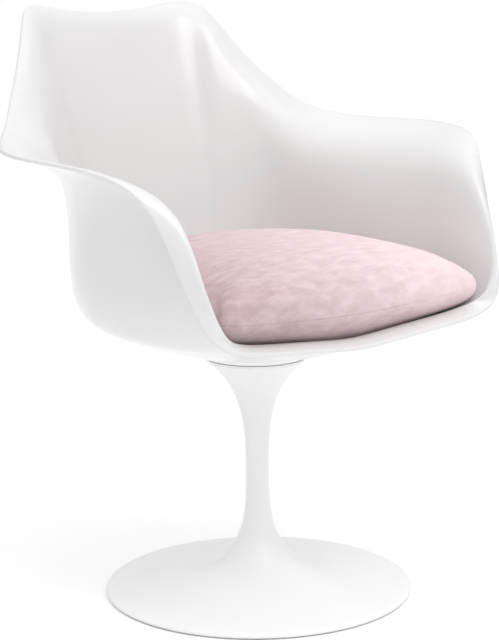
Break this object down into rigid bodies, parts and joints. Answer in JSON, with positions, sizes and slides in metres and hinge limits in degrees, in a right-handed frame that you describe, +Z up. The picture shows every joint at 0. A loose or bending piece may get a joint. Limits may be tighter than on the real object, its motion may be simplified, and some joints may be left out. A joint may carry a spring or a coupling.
{
  "type": "pedestal swivel armchair",
  "caption": "Swivel armchair: a moulded bucket shell with flared arms and a loose domed seat cushion, turning on a trumpet-shaped pedestal with a round foot",
  "frame": {"origin": "on the floor, where the swivel axis meets it, in the middle of the round foot", "axes": "+Z up along the swivel axis, -Y the way the sitter faces, +X to the left of a sitter who faces -Y"},
  "size_m": [0.7166, 0.586, 0.8105],
  "materials": {
    "base_lacquer": "gloss",
    "shell_gloss": "gloss",
    "velvet": "matte",
    "foam": "matte",
    "glide_plastic": "matte",
    "bush_polymer": "matte",
    "bearing_steel": "polished",
    "hub_steel": "satin",
    "spring_steel": "satin",
    "screw_zinc": "satin",
    "cage_brass": "satin",
    "gasket_rubber": "matte",
    "pad_hook": "matte",
    "pad_loop": "matte"
  },
  "bodies": {
    "base": {"base_casting": "base_lacquer", "glide_ring": "glide_plastic", "upper_bush": "bush_polymer", "lower_bush": "bush_polymer", "lower_race": "bearing_steel"},
    "bearing_cage": {"ball_cage": "cage_brass", "bearing_balls": "bearing_steel"},
    "seat": {"upper_race": "bearing_steel", "swivel_hub": "hub_steel", "swivel_spindle": "bearing_steel", "thrust_washer": "bearing_steel", "retaining_clip": "spring_steel", "hub_gasket": "gasket_rubber", "swivel_collar": "shell_gloss", "seat_shell": "shell_gloss", "mounting_screws": "screw_zinc", "hook_pads": "pad_hook"},
    "cushion": {"loop_pads": "pad_loop", "cushion_base_cover": "velvet", "cushion_top_cover": "velvet", "cushion_foam": "foam"}
  },
  "joints": [
    {"name": "seat_swivel", "type": "hinge", "parent": "base", "child": "seat", "pos_m": [0, 0, 0.324], "axis": [0, 0, 1], "continuous": true},
    {"name": "cage_spin", "type": "hinge", "parent": "base", "child": "bearing_cage", "pos_m": [0, 0, 0.324], "axis": [0, 0, 1], "continuous": true},
    {"name": "cushion_lift", "type": "slide", "parent": "seat", "child": "cushion", "axis": [0, 0, 1], "range_m": [0, 0.46]}
  ],
  "couplings": [
    {"joint": "cage_spin", "follows": "seat_swivel", "ratio": 0.5}
  ]
}
